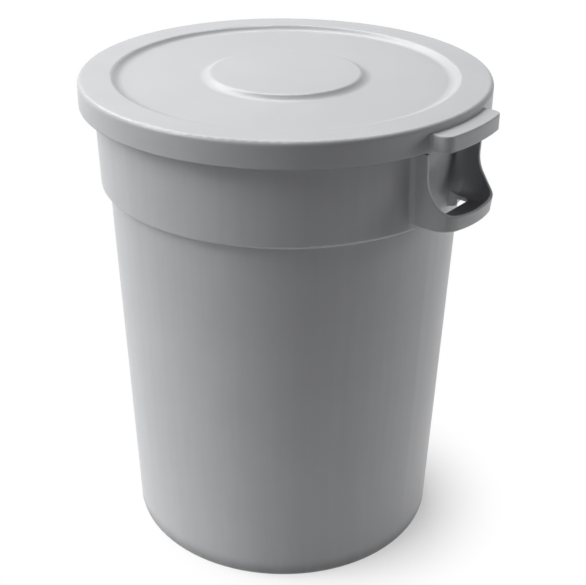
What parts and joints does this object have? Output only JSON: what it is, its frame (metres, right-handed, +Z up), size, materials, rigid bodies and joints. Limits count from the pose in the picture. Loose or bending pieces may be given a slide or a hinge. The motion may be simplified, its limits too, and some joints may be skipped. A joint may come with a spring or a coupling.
{
  "type": "trash can with lid",
  "caption": "Tall round grey plastic refuse can with a stiffening band, moulded loop handles and a loose dished lid with a lift tab.",
  "frame": {"origin": "on the can's upright axis, at the level of the foot it stands on", "axes": "+Z up along the can's axis, +X through the handle under the lid's lift tab, Y across the handles"},
  "size_m": [0.6354, 0.568, 0.7006],
  "materials": {
    "can_plastic": "fine matte moulding texture",
    "lid_plastic": "fine matte moulding texture"
  },
  "bodies": {
    "can": {"can_body": "can_plastic"},
    "cover": {"lid": "lid_plastic"}
  },
  "joints": [
    {"name": "lid_lift", "type": "slide", "parent": "can", "child": "cover", "axis": [0, 0, 1], "range_m": [0, 0.4]}
  ]
}
